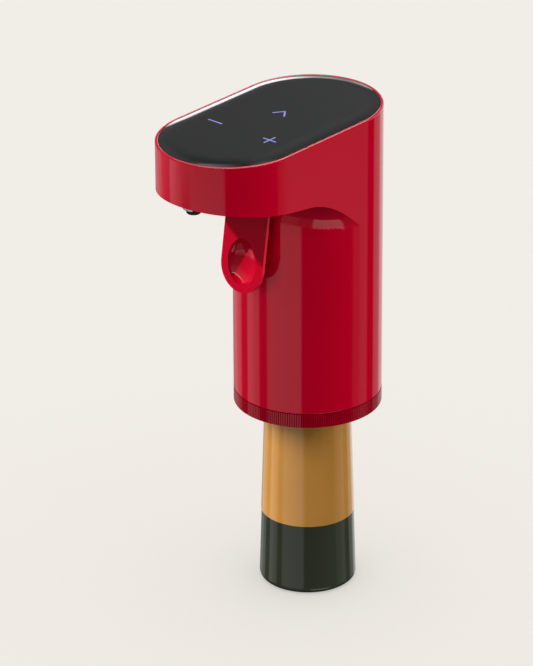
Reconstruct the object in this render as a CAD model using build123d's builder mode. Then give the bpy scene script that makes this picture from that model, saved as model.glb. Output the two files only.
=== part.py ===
"""Wine preservation dispenser standing on a bottle-neck stand.

Millimetres, +Z up. The origin is on the axis of the neck and column, on the floor.
The spout and the lever face -Y; the lever and the ring turn on the dispenser head,
and the whole head lifts off the neck along +Z.
"""
import os
from math import cos, pi, radians, sin, sqrt, tan

from build123d import *

os.makedirs("parts", exist_ok=True)

# ---------------------------------------------------------------- driving dimensions
# housing
column_radius = 25.0          # round column, and both ends of the head
head_reach = 36.0             # column axis to the centre of the head's front end
housing_height = 101.2        # foot to top, on the column's axis
neck_entry = 16.0             # how far the neck reaches up into the housing
top_tilt = 2.0                # degrees, the top falls towards the front
head_depth = 21.0             # to the underside, below the centre of the head's front end
overhang_tilt = 7.0           # degrees, the underside rises towards the front
arch_radius = 12.0            # concave sweep from the underside into the column
wall = 2.0
top_edge_radius = 0.55
foot_edge_radius = 0.3

# touch panel, measured down from the top plane
rim_width = 1.1
rim_inner_radius = 0.4
glass_gap = 0.1
glass_rise = 0.5              # its flat middle stands proud of the rim
glass_thickness = 3.0
crown_width = 6.0             # round the flat middle, where the glass falls away
crown_tilt = 12.0             # degrees, its slope at the glass's edge
gasket_thickness = 0.3
ledge_thickness = 1.5
ledge_inset = 4.5
mask_thickness = 1.0
board_thickness = 1.0
key_spacing = 12.0            # of the two side keys from the middle
side_key_setback = 4.7        # behind the centre of the head's front end
middle_key_y = -12.6
key_window = 4.2
led_size = 2.6
led_height = 0.8

# neck stand
neck_height = 88.0
neck_base_radius = 16.6
neck_top_radius = 13.8
neck_bore_radius = 9.25
neck_floor = 9.0
neck_edge_radius = 2.0
capsule_foot = 25.5
capsule_relief = 0.2          # the neck is let in under the sleeve
capsule_proud = 0.15
capsule_lip = 2.0             # turned in over the top of the neck

# twist ring and collar
ring_seam = 0.15              # between the ring and the housing
ring_band_height = 4.8
ring_band_wall = 1.8
ring_floor = 1.6
ring_neck_gap = 0.7
ring_tube_wall = 1.8
ring_lip = 1.0
ring_lip_height = 1.5
rib_count = 200
rib_depth = 0.3
rib_land = 0.6                # share of each rib's pitch that is left between the grooves
turn_gap = 0.3                # between the ring and what it turns in
collar_gap = 0.1              # between the collar and the housing
collar_ledge_rise = 4.2       # of its snap ledge above the housing's foot
collar_screw_depth = 3.5      # screw heads sunk below its top
grip_gap = 0.3                # between the grip sleeve and the neck
grip_wall = 0.75
grip_room = 2.5               # around the sleeve, inside the ring's tube

# inner frame
deck_rise = 20.0              # above the housing's foot
deck_thickness = 2.0
deck_gap = 0.2
web_width = 30.0
web_thickness = 2.0
web_front = 0.9
web_arch_width = 21.0
web_arch_height = 13.0
board_drop = 11.2             # control board below the top, on the column's axis
post_height = 8.0             # of the collar's screw posts
post_radius = 2.6
boss_inset = 3.6              # from the inside of the housing
boss_radius = 3.8
boss_height = 12.0
board_boss_x = 11.0
board_boss_height = 12.0
board_boss_radius = 2.4

# control board
board_gap = 0.6               # to the inside of the housing
board_front = -16.0
board_width = 34.0
connector_width = 10.0
connector_depth = 3.0
connector_y = -13.0
processor = (-9.0, -6.0, 7.0, 1.0)       # place across and along, side, height
motor_driver = (8.0, -7.0, 5.0, 1.5)
choke = (9.0, 11.0, 6.0, 3.0)

# screws
screw_radius = 1.2
screw_fit = 0.05
screw_head_radius = 1.75
screw_head_height = 1.6
screw_cross_length = 2.6
screw_cross_width = 0.6

# battery and pump
battery_radius = 9.25
battery_length = 50.0
battery_gap = 1.05            # to the web
battery_shelf_rise = 4.5      # above the deck
tab_thickness = 0.4
tab_width = 7.0
tab_corner_radius = 1.0
can_chamfer = 0.6             # battery and motor
cradle_height = 4.0
cradle_depth = 6.0
motor_radius = 10.0
motor_length = 25.0
pump_gap = 0.6                # to the web
motor_boss_radius = 3.0
motor_boss_height = 1.0
motor_screw_spread = 6.0
motor_screw_depth = 4.0
shelf_rise = 14.0             # above the deck
shelf_thickness = 2.0
pump_radius = 10.8
pump_body_height = 11.0
pump_cavity_radius = 8.0
diaphragm_thickness = 1.0
cover_height = 4.0
cover_chamfer = 0.8
shaft_radius = 1.0
shaft_fit = 0.05
crank_radius = 4.0
crank_throw = 2.0
crank_pin_height = 3.0
shaft_depth = 5.0             # in the motor's bearing
outlet_x = 5.0

# tubes
wine_tube_radius = 2.5
wine_bore_radius = 1.8
air_tube_radius = 1.75
air_bore_radius = 1.0
nipple_fit = 0.05
nipple_length = 3.0
nipple_spread = 2.6           # of the two core nipples from the axis
tube_bend = 4.0
air_bend = 3.5
crossing_drop = 2.8           # both tubes cross below the motor shelf
air_run_rise = 6.5            # above the pump
wine_turn_setback = 10.8      # behind the spout, where the wine tube is back in the middle
tube_floor_gap = 0.2          # wine tube over the floor of the head
tube_ear_gap = 0.8            # wine tube beside the lever's ears
wine_run_y = -9.0
tube_hole_gap = 1.0           # round the tubes, where they pass through the shelf
valve_radius = 3.2
valve_gap = 1.5               # to the pump
valve_length = 9.0
valve_chamfer = 1.0
valve_rise = 9.5              # above the motor shelf

# spout
spout_gap = 0.2               # its block to the inside of the head's front end
spout_radius = 3.6
spout_rise = 0.4
spout_fit = 0.05
spout_block_radius = 4.5
spout_block_cap = 3.4         # above the tube
tip_radius = 2.4
tip_drop = 1.5                # below the nozzle
tip_bore_radius = 1.5
tip_plug_radius = 2.15
tip_plug_height = 2.0
nozzle_bore_radius = 1.2
nozzle_chamfer = 0.3
block_chamfer = 0.8
tip_chamfer = 0.25

# lever
pivot_reach = 1.8             # ahead of the column
pivot_rise = 4.8              # above the underside of the head
lever_lean = 8.5              # degrees, forward of upright
lever_travel = 3.5            # degrees
lever_width = 18.4
lever_thickness = 1.1
lever_reach = 41.2            # pivot to the rounded tip
lever_tail = 8.0              # above the pivot
hub_radius = 3.0
pin_radius = 1.2
pin_chamfer = 0.2
pin_fit = 0.05
spring_bay = 7.6              # clear width between the two hubs
bay_margin = 0.8
tail_width = 11.0
ear_thickness = 2.6
ear_gap = 0.4
ear_radius = 3.2
ear_drop = 6.2                # below the underside of the head
ear_depth = 4.9               # behind the pivot
bar_depth = 1.4
bar_height = 1.8
bar_gap = 0.6                 # over the spring's leg
slot_gap = 0.4
dish_half_width = 6.3
dish_half_height = 7.8
dish_depth = 3.4
dish_wall = 0.8
dish_drop = 30.8              # pivot to the dish's centre
spring_radius = 1.9
spring_wire = 0.5             # side of its square wire
spring_fit = 0.02
spring_pitch = 1.3
spring_turns = 2.75
spring_grip = 6.5             # how far down the lever its leg presses

# lever switch
switch_width = 12.8
switch_depth = 5.8
switch_height = 6.5
switch_chamfer = 0.3
plunger_width = 2.8
plunger_height = 1.2
plunger_reach = 1.4           # out of the switch
plunger_depth = 1.2           # of its guide
plunger_line = 3.1            # above the switch's floor
plunger_gap = 0.1
plunger_touch = 0.05          # to the lever at rest
plunger_room = 0.6            # free depth behind it

# stopper
stopper_length = 18.0         # in the neck
stopper_gap = 1.65            # to the neck's bore
fin_gap = 0.3
fin_count = 3
fin_pitch = 5.0
fin_root = 0.5                # depth of its root in the stopper
fin_edge = 0.6
fin_back = 0.2                # slope of its upper side
stopper_lead = 2.0            # tapered end that enters the neck
stopper_taper = 1.0
stopper_flange_radius = 13.0
stopper_flange = 2.0
seat_gap = 0.2                # over the neck's lip
core_radius = 5.0
core_flange_radius = 9.0
core_barrel_radius = 6.0
core_barrel_height = 3.5      # above the deck
nut_across_flats = 16.0
nut_height = 2.5
dip_radius = 2.0
dip_bore_radius = 1.2
dip_clearance = 5.0           # over the neck's floor
dip_socket = 14.0

# charging socket
port_width = 8.94
port_height = 3.26
port_depth = 7.3
port_wall = 0.3
port_recess = 0.6
port_gap = 0.3
port_back = 1.0               # thickness of its closed end
tongue_width = 6.7
tongue_thickness = 0.65
charge_board_thickness = 1.0
charge_board_width = 14.0
charge_board_lead = 1.9       # ahead of the socket
charge_board_depth = 6.3

# ---------------------------------------------------------------- derived dimensions
housing_foot = neck_height - neck_entry
top_height = housing_foot + housing_height
overhang_height = top_height - head_depth
inner_radius = column_radius - wall
glass_inset = rim_width + glass_gap
glass_foot = glass_thickness - glass_rise
crown_reach = column_radius - glass_inset - crown_width
crown_radius = crown_width / sin(radians(crown_tilt))
crown_run = head_reach / cos(radians(top_tilt))
ledge_drop = glass_foot + gasket_thickness
ledge_foot = ledge_drop + ledge_thickness
mask_foot = glass_foot + mask_thickness
touch_board_foot = mask_foot + board_thickness
deck_floor = housing_foot + deck_rise
deck_top = deck_floor + deck_thickness
collar_top = deck_floor - post_height
collar_ledge = housing_foot + collar_ledge_rise
collar_screw_seat = collar_top - collar_screw_depth
web_arch_top = deck_top + web_arch_height
web_top = top_height - board_drop
boss_x = inner_radius - boss_inset
boss_top = deck_top + boss_height
battery_shelf = deck_top + battery_shelf_rise
battery_y = web_front + web_thickness + battery_gap + battery_radius
shelf_floor = deck_top + shelf_rise
shelf_top = shelf_floor + shelf_thickness
motor_y = web_front - pump_gap - max(pump_radius, motor_radius)
battery_foot = battery_shelf + deck_thickness + tab_thickness
battery_top = battery_foot + battery_length
motor_top = shelf_top + motor_length
pump_body_top = motor_top + pump_body_height
diaphragm_top = pump_body_top + diaphragm_thickness
cover_top = diaphragm_top + cover_height
air_run_height = cover_top + air_run_rise
tube_crossing = shelf_floor - crossing_drop
valve_foot = shelf_top + valve_rise
board_foot = web_top
board_top = board_foot + board_thickness
side_key_y = side_key_setback - head_reach
stopper_seat = neck_height + seat_gap
stopper_top = stopper_seat + stopper_flange
stopper_foot = neck_height - stopper_length
stopper_radius = neck_bore_radius - stopper_gap
fin_radius = neck_bore_radius - fin_gap
core_barrel_top = deck_top + core_barrel_height
dip_foot = neck_floor + dip_clearance
spout_y = spout_gap + spout_block_radius - inner_radius - head_reach
spout_foot = overhang_height + spout_rise
nipple_root = spout_y + spout_block_radius
head_floor = (
    overhang_height
    + wall / cos(radians(overhang_tilt))
    - (head_reach + nipple_root) * tan(radians(overhang_tilt))
)
tube_run_height = head_floor + tube_floor_gap + wine_tube_radius
spout_block_top = tube_run_height + spout_block_cap
tip_foot = spout_foot - tip_drop
wine_turn_y = spout_y + wine_turn_setback
pivot_y = -column_radius - pivot_reach
pivot_z = overhang_height + pivot_rise
ear_foot = overhang_height - ear_drop
ear_back = pivot_y + ear_depth
switch_floor = pivot_z + hub_radius + ear_gap
plunger_rise = switch_floor + plunger_line - pivot_z
hub_width = (lever_width - spring_bay) / 2
plunger_y = (
    pivot_y
    - lever_thickness / 2 * cos(radians(lever_lean))
    + plunger_rise * tan(radians(lever_lean))
    - plunger_touch
)
switch_back = plunger_y - plunger_gap - plunger_reach
post_back = pivot_y - hub_radius - ear_gap
port_top = deck_floor - charge_board_thickness
port_mouth = column_radius - port_recess
charge_board_front = port_mouth - port_depth - charge_board_lead
switch_front = switch_back - switch_depth
board_boss_y = web_front + web_thickness / 2
ear_inside = lever_width / 2 + ear_gap
wine_side = ear_inside + ear_thickness + tube_ear_gap + wine_tube_radius
valve_side = pump_radius + valve_gap + valve_radius
pin_length = 2 * (ear_inside + ear_thickness)
bar_foot = pivot_z - spring_radius + spring_wire / 2 + bar_gap
ring_foot = housing_foot - ring_seam - ring_band_height
lip_top = collar_ledge + turn_gap + ring_lip_height
collar_foot = ring_foot + ring_floor + turn_gap
grip_foot = lip_top + turn_gap

# the slot clears the lever's front face at rest and its back face when pressed
slot_low = overhang_height - arch_radius / 2
half_plate = lever_thickness / 2 / cos(radians(lever_lean))
slot_front = pivot_y - (pivot_z - slot_low) * tan(radians(lever_lean)) - half_plate - slot_gap
pressed_lean = radians(lever_lean - lever_travel)
slot_back = pivot_y - (pivot_z - overhang_height) * tan(pressed_lean) + half_plate + slot_gap

# the neck's taper sizes what grips it and turns round it
def neck_radius(height):
    """The plain taper of the neck at a height."""
    return neck_base_radius + (neck_top_radius - neck_base_radius) * height / neck_height


grip_radius = neck_radius(grip_foot) + capsule_proud + grip_gap + grip_wall
ring_tube_radius = grip_radius + grip_room + ring_tube_wall
post_circle = grip_radius + post_radius

rib_points = [
    (radius * cos(2 * pi * (rib + place) / rib_count), radius * sin(2 * pi * (rib + place) / rib_count))
    for rib in range(rib_count)
    for radius, place in (
        (column_radius, 0),
        (column_radius, rib_land),
        (column_radius - rib_depth, (1 + rib_land) / 2),
    )
]


def top_plane(drop):
    """The tilted top of the head, lowered by drop."""
    tilt = radians(top_tilt)
    return Plane(origin=(0, 0, top_height - drop), z_dir=(0, -sin(tilt), cos(tilt)))


top_axis = Axis((0, 0, 0), top_plane(0).z_dir)


def overhang_plane(inset):
    """The tilted underside of the head, raised into the wall by inset."""
    tilt = radians(overhang_tilt)
    height = overhang_height + inset / cos(tilt)
    return Plane(origin=(0, -head_reach, height), z_dir=(0, sin(tilt), cos(tilt)))


def arch_cutter(inset):
    """The open space below the head and before the column, grown into the wall by inset."""
    with BuildPart() as space:
        with BuildSketch(Plane.XY.offset(ring_foot - wall)):
            with Locations((0, -2 * head_reach)):
                Rectangle(6 * column_radius, 4 * head_reach)
            Circle(column_radius - inset, mode=Mode.SUBTRACT)
        extrude(amount=top_height)
        split(bisect_by=overhang_plane(inset), keep=Keep.BOTTOM)
        inner_edge = space.edges().filter_by(GeomType.ELLIPSE)
        fillet(inner_edge, radius=arch_radius + inset)
    return space.part


def pod(inset, foot, drop):
    """The form of the housing, inside its skin by inset, from foot up to the dropped top."""
    space = arch_cutter(inset)
    with BuildPart() as form:
        with BuildSketch(Plane.XY.offset(foot)):
            with Locations((0, -head_reach / 2)):
                SlotCenterToCenter(head_reach, 2 * (column_radius - inset), rotation=90)
        extrude(amount=top_height)
        split(bisect_by=top_plane(drop), keep=Keep.BOTTOM)
        add(space, mode=Mode.SUBTRACT)
    return form.part


def top_slab(inset, upper_drop, lower_drop):
    """A slice of the head's outline between two planes parallel to its top."""
    with BuildPart() as slab:
        with BuildSketch(Plane.XY.offset(overhang_height)):
            with Locations((0, -head_reach / 2)):
                SlotCenterToCenter(head_reach, 2 * (column_radius - inset), rotation=90)
        extrude(amount=top_height)
        split(bisect_by=top_plane(upper_drop), keep=Keep.BOTTOM)
        split(bisect_by=top_plane(lower_drop), keep=Keep.TOP)
    return slab.part


def screw(x, y, seat, point):
    """A round-headed screw on a vertical axis, its head below seat, its point at point."""
    rise = 1 if point > seat else -1
    with BuildPart() as fastener:
        with BuildSketch(Plane.XY.offset(seat - rise * screw_head_height)):
            with Locations((x, y)):
                Circle(screw_head_radius)
        extrude(amount=rise * screw_head_height)
        with BuildSketch(Plane.XY.offset(seat)):
            with Locations((x, y)):
                Circle(screw_radius)
        extrude(amount=point - seat)
        with BuildSketch(Plane.XY.offset(seat - rise * screw_head_height)):
            with Locations((x, y)):
                Rectangle(screw_cross_length, screw_cross_width)
                Rectangle(screw_cross_width, screw_cross_length)
        extrude(amount=rise * screw_head_height / 2, mode=Mode.SUBTRACT)
    return fastener.part


def tube(points, outer, inner, bend):
    """A soft tube along straight runs joined by tangent arcs, bored where it takes a nipple."""
    with BuildPart() as hose:
        with BuildLine() as route:
            FilletPolyline(*points, radius=bend)
        first_mouth = Plane(origin=route.line @ 0, z_dir=route.line % 0)
        last_mouth = Plane(origin=route.line @ 1, z_dir=-(route.line % 1))
        with BuildSketch(first_mouth):
            Circle(outer)
        sweep(path=route.line)
        for mouth in (first_mouth, last_mouth):
            with BuildSketch(mouth):
                Circle(inner)
            extrude(amount=nipple_length + nipple_fit, mode=Mode.SUBTRACT)
    return hose.part


def save(piece, name):
    """Labels a finished piece and writes it."""
    piece.part.label = name
    export_step(piece.part, f"parts/{name}.step")


# ---------------------------------------------------------------- neck stand
with BuildPart() as neck:
    relieved_foot = neck_radius(capsule_foot) - capsule_relief
    relieved_top = neck_radius(neck_height) - capsule_relief
    with BuildSketch(Plane.XZ):
        with BuildLine():
            Polyline(
                (0, 0),
                (neck_base_radius, 0),
                (neck_radius(capsule_foot), capsule_foot),
                (relieved_foot, capsule_foot),
                (relieved_top, neck_height - capsule_relief),
                (neck_bore_radius, neck_height - capsule_relief),
                (neck_bore_radius, neck_floor),
                (0, neck_floor),
                close=True,
            )
        make_face()
    revolve(axis=Axis.Z)
    base_edge = neck.edges().filter_by(GeomType.CIRCLE).group_by(Axis.Z)[0]
    fillet(base_edge, radius=neck_edge_radius)
save(neck, "neck")

with BuildPart() as capsule:
    with BuildSketch(Plane.XZ):
        with BuildLine():
            Polyline(
                (relieved_foot, capsule_foot),
                (neck_radius(capsule_foot) + capsule_proud, capsule_foot),
                (neck_radius(neck_height) + capsule_proud, neck_height),
                (neck_bore_radius + capsule_lip, neck_height),
                (neck_bore_radius + capsule_lip, neck_height - capsule_relief),
                (relieved_top, neck_height - capsule_relief),
                close=True,
            )
        make_face()
    revolve(axis=Axis.Z)
save(capsule, "capsule")

# ---------------------------------------------------------------- housing
mid_wall_space = arch_cutter(wall / 2)
inner_space = arch_cutter(wall)
outer_form = pod(0, housing_foot, 0)
inner_form = pod(wall, ring_foot, ledge_foot)
glass_recess = top_slab(rim_width, -wall, ledge_drop)
ledge_opening = top_slab(ledge_inset, 0, ledge_foot + wall)

# ears for the lever's pin, with a bar behind them for the spring's free leg,
# and a post for the switch; all stand on the inside of the arch
with BuildPart() as fittings:
    for ear_x in (ear_inside, -ear_inside - ear_thickness):
        with BuildSketch(Plane.YZ.offset(ear_x)):
            with Locations((pivot_y, pivot_z)):
                Circle(ear_radius)
            with Locations((pivot_y - ear_radius, ear_foot)):
                Rectangle(ear_back - pivot_y + ear_radius, pivot_z - ear_foot,
                          align=(Align.MIN, Align.MIN))
            with Locations((pivot_y, pivot_z)):
                Rectangle(ear_back - pivot_y, ear_radius, align=(Align.MIN, Align.MIN))
                Circle(pin_radius, mode=Mode.SUBTRACT)
        extrude(amount=ear_thickness)
    with BuildSketch(Plane.XY.offset(bar_foot)):
        with Locations((0, ear_back - bar_depth / 2)):
            Rectangle(2 * ear_inside, bar_depth)
    extrude(amount=bar_height)
    with BuildSketch(Plane.XY.offset(ear_foot)):
        with Locations((0, switch_front)):
            Rectangle(switch_width, post_back - switch_front, align=(Align.CENTER, Align.MIN))
    extrude(amount=switch_floor - ear_foot)
    add(mid_wall_space, mode=Mode.SUBTRACT)

with BuildPart() as housing:
    add(outer_form)
    top_edges = housing.faces().sort_by(top_axis)[-1].edges()
    fillet(top_edges, radius=top_edge_radius)
    foot_edge = housing.edges().group_by(Axis.Z)[0]
    fillet(foot_edge, radius=foot_edge_radius)
    add(inner_form, mode=Mode.SUBTRACT)
    add(ledge_opening, mode=Mode.SUBTRACT)
    add(glass_recess, mode=Mode.SUBTRACT)
    rim_face = housing.faces().sort_by(top_axis)[-1]
    fillet(rim_face.inner_wires()[0].edges(), radius=rim_inner_radius)
    add(fittings.part)
    # bosses that the inner frame is screwed to
    with BuildSketch(Plane.XY.offset(deck_top)):
        with Locations((boss_x, 0), (-boss_x, 0)):
            Circle(boss_radius)
        Circle(column_radius - wall / 2, mode=Mode.INTERSECT)
        with Locations((boss_x, 0), (-boss_x, 0)):
            Circle(screw_radius + screw_fit, mode=Mode.SUBTRACT)
    extrude(amount=boss_top - deck_top)
    # slot that the lever hangs through
    with BuildSketch(Plane.XY.offset(ear_foot - arch_radius)):
        with Locations((0, slot_front)):
            Rectangle(lever_width + 2 * slot_gap, slot_back - slot_front,
                      align=(Align.CENTER, Align.MIN))
    extrude(amount=overhang_height - ear_foot + arch_radius, mode=Mode.SUBTRACT)
    # hole for the spout
    with BuildSketch(Plane.XY.offset(overhang_height - wall)):
        with Locations((0, spout_y)):
            Circle(spout_radius + spout_fit)
    extrude(amount=spout_block_top - overhang_height, mode=Mode.SUBTRACT)
    # opening for the charging socket
    with BuildSketch(Plane.XZ.offset(-column_radius - wall)):
        with Locations((0, port_top - port_height / 2)):
            SlotOverall(port_width + 2 * port_gap, port_height + 2 * port_gap)
    extrude(amount=column_radius / 2, mode=Mode.SUBTRACT)
save(housing, "housing")

# ---------------------------------------------------------------- touch panel
glass_slab = top_slab(glass_inset, -glass_rise, glass_foot)
gasket_slab = top_slab(glass_inset, glass_foot, ledge_drop)
mask_slab = top_slab(ledge_inset + glass_gap, glass_foot, mask_foot)
board_slab = top_slab(ledge_inset + glass_gap, mask_foot, touch_board_foot)
key_places = [(key_spacing, side_key_y), (-key_spacing, side_key_y), (0, middle_key_y)]

# the glass's crown: flat in the middle, and falling away in an arc past its edge
tilt = radians(top_tilt)
crown_plane = Plane(
    origin=top_plane(-glass_rise).origin, x_dir=(1, 0, 0), z_dir=(0, -cos(tilt), -sin(tilt))
)
past_edge = crown_reach + crown_width + glass_inset
past_drop = crown_radius - sqrt(crown_radius ** 2 - (past_edge - crown_reach) ** 2)
with BuildSketch() as crown_half:
    with BuildLine():
        Polyline((crown_reach, 0), (0, 0), (0, -2 * glass_thickness),
                 (past_edge, -2 * glass_thickness), (past_edge, -past_drop))
        TangentArc((crown_reach, 0), (past_edge, -past_drop), tangent=(1, 0))
    make_face()

with BuildPart() as crown:
    with BuildSketch(crown_plane):
        add(crown_half.sketch)
        mirror(about=Plane.YZ)
    extrude(amount=crown_run)
    for end_plane, turn in ((crown_plane, 1), (crown_plane.offset(crown_run), -1)):
        with BuildSketch(end_plane):
            add(crown_half.sketch)
        revolve(axis=Axis(end_plane.origin, turn * top_plane(0).z_dir), revolution_arc=180)

with BuildPart() as touch_glass:
    add(glass_slab)
    add(crown.part, mode=Mode.INTERSECT)
save(touch_glass, "touch_glass")

with BuildPart() as glass_gasket:
    add(gasket_slab)
    add(ledge_opening, mode=Mode.SUBTRACT)
save(glass_gasket, "glass_gasket")

with BuildPart() as light_mask:
    add(mask_slab)
    with BuildSketch(Plane.XY.offset(overhang_height)):
        with Locations(*key_places):
            Rectangle(key_window, key_window)
    extrude(amount=top_height, mode=Mode.SUBTRACT)
save(light_mask, "light_mask")

with BuildPart() as touch_board:
    add(board_slab)
save(touch_board, "touch_board")

with BuildPart() as led_prisms:
    with BuildSketch(Plane.XY.offset(overhang_height)):
        with Locations(*key_places):
            Rectangle(led_size, led_size)
    extrude(amount=top_height)
with BuildPart() as touch_leds:
    add(led_prisms.part)
    split(bisect_by=top_plane(mask_foot - led_height), keep=Keep.BOTTOM)
    split(bisect_by=top_plane(mask_foot), keep=Keep.TOP)
save(touch_leds, "touch_leds")

with BuildPart() as board_connector:
    with BuildSketch(Plane.XY.offset(board_top)):
        with Locations((0, connector_y)):
            Rectangle(connector_width, connector_depth)
    extrude(amount=top_height)
    split(bisect_by=top_plane(touch_board_foot), keep=Keep.BOTTOM)
save(board_connector, "board_connector")

# ---------------------------------------------------------------- inner frame
post_places = [
    (post_circle * cos(radians(angle)), post_circle * sin(radians(angle)))
    for angle in (30, 150, 270)
]
boss_places = [(boss_x, 0), (-boss_x, 0)]

with BuildPart() as chassis:
    # deck
    with BuildSketch(Plane.XY.offset(deck_floor)):
        Circle(inner_radius - deck_gap)
        Circle(core_barrel_radius + deck_gap, mode=Mode.SUBTRACT)
        with Locations(*boss_places):
            Circle(screw_radius + deck_gap, mode=Mode.SUBTRACT)
    extrude(amount=deck_thickness)
    # posts that the collar is screwed to
    with BuildSketch(Plane.XY.offset(collar_top)):
        with Locations(*post_places):
            Circle(post_radius)
            Circle(screw_radius + screw_fit, mode=Mode.SUBTRACT)
    extrude(amount=deck_floor - collar_top)
    # upright web between the battery and the pump, open at its foot for the tubes
    with BuildSketch(Plane.XZ.offset(-web_front)):
        with Locations((0, deck_top)):
            Rectangle(web_width, web_top - deck_top, align=(Align.CENTER, Align.MIN))
            Rectangle(web_arch_width, web_arch_top - deck_top,
                      align=(Align.CENTER, Align.MIN), mode=Mode.SUBTRACT)
    extrude(amount=-web_thickness)
    # shelf under the motor
    with BuildSketch(Plane.XY.offset(shelf_floor)):
        with Locations((0, web_front)):
            Rectangle(web_width, web_front - motor_y, align=(Align.CENTER, Align.MAX))
        with Locations((0, motor_y)):
            Circle(motor_radius + deck_gap)
            with Locations((motor_screw_spread, 0), (-motor_screw_spread, 0)):
                Circle(screw_radius + screw_fit, mode=Mode.SUBTRACT)
        with Locations((-wine_side, wine_run_y), (valve_side, motor_y)):
            Circle(wine_tube_radius + tube_hole_gap, mode=Mode.SUBTRACT)
    extrude(amount=shelf_thickness)
    # shelf under the battery, and two cradles that hold it
    with BuildSketch(Plane.XY.offset(battery_shelf)):
        with Locations((0, web_front + web_thickness)):
            Rectangle(web_width, inner_radius, align=(Align.CENTER, Align.MIN))
        Circle(inner_radius - 2 * deck_gap, mode=Mode.INTERSECT)
    extrude(amount=deck_thickness)
    for cradle_foot in (battery_foot + 2 * cradle_height, battery_top - 2 * cradle_height):
        with BuildSketch(Plane.XY.offset(cradle_foot)):
            with Locations((0, web_front + web_thickness)):
                Rectangle(2 * battery_radius + web_thickness, cradle_depth,
                          align=(Align.CENTER, Align.MIN))
            with Locations((0, battery_y)):
                Circle(battery_radius + screw_fit, mode=Mode.SUBTRACT)
        extrude(amount=cradle_height)
    # bosses for the control board
    with BuildSketch(Plane.XY.offset(web_top - board_boss_height)):
        with Locations((board_boss_x, board_boss_y), (-board_boss_x, board_boss_y)):
            Circle(board_boss_radius)
    extrude(amount=board_boss_height)
    with BuildSketch(Plane.XY.offset(web_top - board_boss_height)):
        with Locations((board_boss_x, board_boss_y), (-board_boss_x, board_boss_y)):
            Circle(screw_radius + screw_fit)
    extrude(amount=board_boss_height, mode=Mode.SUBTRACT)
save(chassis, "chassis")

chassis_fixings = [screw(x, y, deck_floor, boss_top - wall) for x, y in boss_places]
with BuildPart() as chassis_screws:
    add(chassis_fixings)
save(chassis_screws, "chassis_screws")

# ---------------------------------------------------------------- battery and boards
with BuildPart() as battery_cell:
    with BuildSketch(Plane.XY.offset(battery_foot)):
        with Locations((0, battery_y)):
            Circle(battery_radius)
    extrude(amount=battery_length)
    chamfer(battery_cell.edges().filter_by(GeomType.CIRCLE), length=can_chamfer)
save(battery_cell, "battery_cell")

with BuildPart() as battery_tabs:
    for tab_foot in (battery_foot - tab_thickness, battery_top):
        with BuildSketch(Plane.XY.offset(tab_foot)):
            with Locations((0, battery_y)):
                RectangleRounded(tab_width, 2 * tab_width, tab_corner_radius)
        extrude(amount=tab_thickness)
save(battery_tabs, "battery_tabs")

with BuildPart() as control_board:
    with BuildSketch(Plane.XY.offset(board_foot)):
        with Locations((0, -head_reach / 2)):
            SlotCenterToCenter(head_reach, 2 * (inner_radius - board_gap), rotation=90)
        with Locations((0, board_front)):
            Rectangle(board_width, inner_radius - board_front,
                      align=(Align.CENTER, Align.MIN), mode=Mode.INTERSECT)
        with Locations((board_boss_x, board_boss_y), (-board_boss_x, board_boss_y)):
            Circle(screw_radius + screw_fit, mode=Mode.SUBTRACT)
    extrude(amount=board_thickness)
    for chip_x, chip_y, chip_size, chip_height in (processor, motor_driver, choke):
        with BuildSketch(Plane.XY.offset(board_top)):
            with Locations((chip_x, chip_y)):
                Rectangle(chip_size, chip_size)
        extrude(amount=chip_height)
save(control_board, "control_board")

board_fixings = [
    screw(x, board_boss_y, board_top, board_top - board_boss_height)
    for x in (board_boss_x, -board_boss_x)
]
with BuildPart() as board_screws:
    add(board_fixings)
save(board_screws, "board_screws")

with BuildPart() as charge_board:
    with BuildSketch(Plane.XY.offset(port_top)):
        with Locations((0, charge_board_front)):
            Rectangle(charge_board_width, charge_board_depth, align=(Align.CENTER, Align.MIN))
    extrude(amount=charge_board_thickness)
save(charge_board, "charge_board")

with BuildPart() as charge_port:
    with BuildSketch(Plane.XZ.offset(-port_mouth)):
        with Locations((0, port_top - port_height / 2)):
            SlotOverall(port_width, port_height)
    extrude(amount=port_depth)
    with BuildSketch(Plane.XZ.offset(-port_mouth)):
        with Locations((0, port_top - port_height / 2)):
            SlotOverall(port_width - 2 * port_wall, port_height - 2 * port_wall)
    extrude(amount=port_depth - port_back, mode=Mode.SUBTRACT)
    with BuildSketch(Plane.XZ.offset(-port_mouth + port_wall)):
        with Locations((0, port_top - port_height / 2)):
            Rectangle(tongue_width, tongue_thickness)
    extrude(amount=port_depth - port_back)
save(charge_port, "charge_port")

# ---------------------------------------------------------------- air pump
with BuildPart() as pump_motor:
    with BuildSketch(Plane.XY.offset(shelf_top)):
        with Locations((0, motor_y)):
            Circle(motor_radius)
    extrude(amount=motor_length)
    chamfer(pump_motor.edges().filter_by(GeomType.CIRCLE), length=can_chamfer)
    with BuildSketch(Plane.XY.offset(motor_top)):
        with Locations((0, motor_y)):
            Circle(motor_boss_radius)
    extrude(amount=motor_boss_height)
    with BuildSketch(Plane.XY.offset(motor_top + motor_boss_height)):
        with Locations((0, motor_y)):
            Circle(shaft_radius + shaft_fit)
    extrude(amount=-shaft_depth, mode=Mode.SUBTRACT)
    with BuildSketch(Plane.XY.offset(shelf_top)):
        with Locations((motor_screw_spread, motor_y), (-motor_screw_spread, motor_y)):
            Circle(screw_radius + screw_fit)
    extrude(amount=motor_screw_depth, mode=Mode.SUBTRACT)
save(pump_motor, "pump_motor")

motor_fixings = [
    screw(x, motor_y, shelf_floor, shelf_top + motor_screw_depth - wall / 4)
    for x in (motor_screw_spread, -motor_screw_spread)
]
with BuildPart() as motor_screws:
    add(motor_fixings)
save(motor_screws, "motor_screws")

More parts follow.
